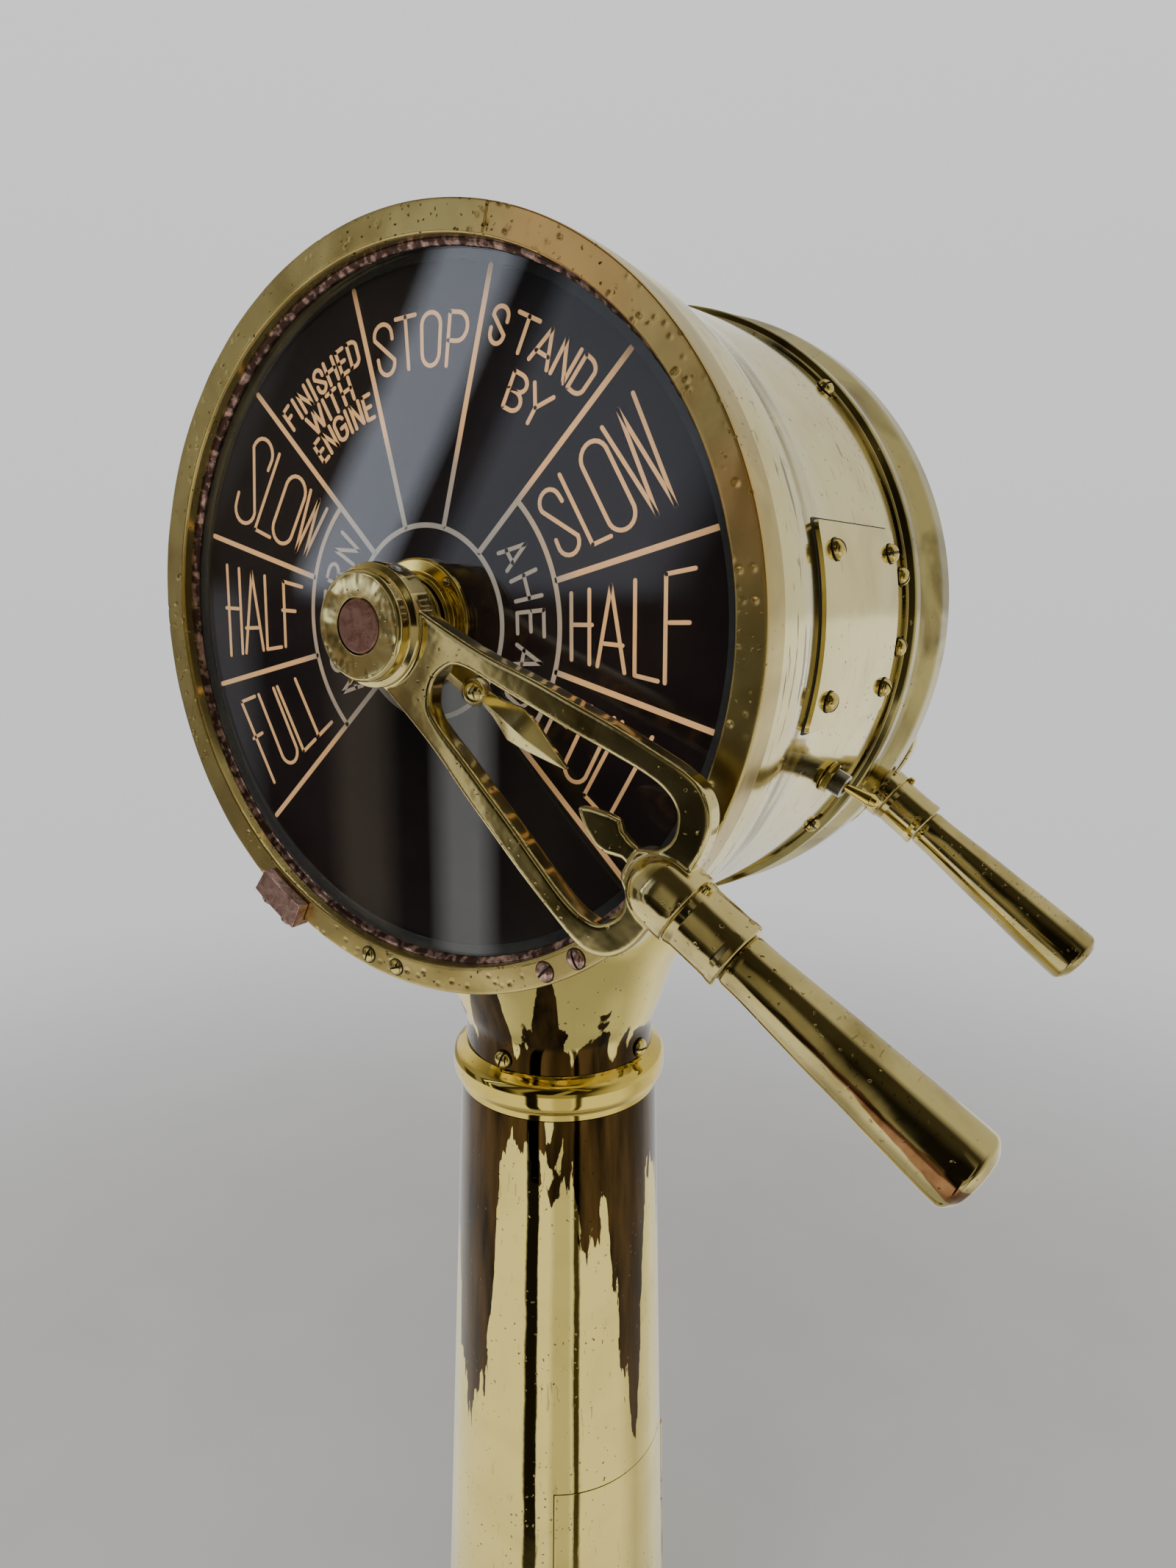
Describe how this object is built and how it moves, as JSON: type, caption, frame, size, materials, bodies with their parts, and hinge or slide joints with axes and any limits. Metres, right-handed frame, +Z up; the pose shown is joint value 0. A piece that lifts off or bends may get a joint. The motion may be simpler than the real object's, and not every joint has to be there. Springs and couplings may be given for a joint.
{
  "type": "ship engine telegraph",
  "caption": "Pedestal engine telegraph for a ship's bridge: a brass drum head with glazed order dials, operating levers and reply pointers on a tapered column.",
  "frame": {"origin": "centre of the sole plate's underside, on the deck", "axes": "+Z up the column, -Y out of the front dial, +X to the right of someone reading the front dial; the levers at rest point down to +X"},
  "size_m": [0.4266, 0.3, 1.1696],
  "materials": {
    "polished_brass": "polished and worn brass with a brown patina, small pits and fine scratches",
    "cast_brass": "paler cast and buffed brass with pits and soft streaks",
    "copper": "coppery pink metal, dull and slightly rough",
    "putty": "rough glazing compound of copper colour, laid by hand",
    "steel": "machined steel with a little wear",
    "black_paint": "satin black paint",
    "dial_black": "glossy brown-black dial enamel with peach lettering",
    "rubber": "matt black seal",
    "clear_glass": "clear flat glass, slightly dusty"
  },
  "bodies": {
    "casing": {"base_flange": "cast_brass", "bell_gong": "polished_brass", "bezel_clamp_block": "copper", "collar_ring": "cast_brass", "column_tube": "polished_brass", "cover_screw_1": "polished_brass", "cover_screw_2": "polished_brass", "cover_screw_3": "polished_brass", "cover_screw_4": "polished_brass", "deck_bolt_1": "steel", "deck_bolt_2": "steel", "deck_bolt_3": "steel", "deck_bolt_4": "steel", "deck_bolt_5": "steel", "deck_bolt_6": "steel", "door_hinge_pin": "steel", "drum_shell": "cast_brass", "front_bezel": "polished_brass", "front_dial": "dial_black", "front_gasket": "rubber", "front_gland": "polished_brass", "front_glass": "clear_glass", "front_putty_ring": "putty", "inner_frame": "cast_brass", "lamp_bulb": "clear_glass", "lamp_holder": "black_paint", "neck_screw_1": "steel", "neck_screw_2": "steel", "neck_screw_3": "steel", "neck_screw_4": "steel", "order_chain": "steel", "rear_dial": "dial_black", "rear_gasket": "rubber", "rear_gland": "polished_brass", "rear_glass": "clear_glass", "rear_putty_ring": "putty", "rear_ring": "polished_brass", "reply_chain": "steel", "side_cover_plate": "cast_brass", "sole_plate": "black_paint", "toggle_switch_body": "black_paint"},
    "levers": {"main_shaft": "copper", "front_lever": "polished_brass", "rear_lever": "polished_brass", "front_grip": "polished_brass", "rear_grip": "polished_brass", "order_sprocket": "steel", "detent_wheel": "steel"},
    "reply_rear": {"reply_sleeve_rear": "cast_brass", "reply_sprocket": "steel", "reply_pointer_rear": "polished_brass"},
    "reply_front": {"reply_sleeve_front": "cast_brass", "reply_pointer_front": "polished_brass"},
    "layshaft": {"reply_layshaft": "steel"},
    "toggle": {"toggle_bat": "steel"},
    "door": {"access_door": "polished_brass"},
    "latch": {"door_latch": "cast_brass"},
    "hammer": {"bell_hammer": "steel"},
    "plunger": {"detent_plunger": "steel"}
  },
  "joints": [
    {"name": "lever_turn", "type": "hinge", "parent": "casing", "child": "levers", "pos_m": [0, 0, 1], "axis": [0, -1, 0], "range_deg": [0, 246.8]},
    {"name": "reply_rear_turn", "type": "hinge", "parent": "casing", "child": "reply_rear", "pos_m": [0, 0, 1], "axis": [0, -1, 0], "range_deg": [0, 244.6]},
    {"name": "reply_front_turn", "type": "hinge", "parent": "casing", "child": "reply_front", "pos_m": [0, 0, 1], "axis": [0, -1, 0], "range_deg": [0, 244.6]},
    {"name": "reply_layshaft_turn", "type": "hinge", "parent": "casing", "child": "layshaft", "pos_m": [0, 0, 1.048], "axis": [0, -1, 0], "range_deg": [-244.6, 0]},
    {"name": "toggle_throw", "type": "hinge", "parent": "casing", "child": "toggle", "pos_m": [0.14722, 0.0163, 0.9266], "axis": [-0.4462, 0, -0.8949], "range_deg": [0, 24]},
    {"name": "door_swing", "type": "hinge", "parent": "casing", "child": "door", "pos_m": [0.03923, 0.06158, 0.384], "axis": [-0.0185, -0.029, 0.9994], "range_deg": [0, 110]},
    {"name": "latch_turn", "type": "hinge", "parent": "door", "child": "latch", "pos_m": [0.04538, -0.0504, 0.384], "axis": [0.6691, -0.7431, 0], "range_deg": [0, 90]},
    {"name": "hammer_strike", "type": "hinge", "parent": "casing", "child": "hammer", "pos_m": [-0.0465, 0.023, 1.026], "axis": [0, -1, 0], "range_deg": [-10, 2.5], "stiffness_Nm_per_rad": 0.2},
    {"name": "detent_lift", "type": "slide", "parent": "casing", "child": "plunger", "axis": [-1, 0, 0], "range_m": [0, 0.003], "stiffness_N_per_m": 400, "springref_m": -0.003}
  ],
  "couplings": [
    {"joint": "reply_front_turn", "follows": "reply_rear_turn", "ratio": 1},
    {"joint": "reply_layshaft_turn", "follows": "reply_rear_turn", "ratio": -1}
  ]
}
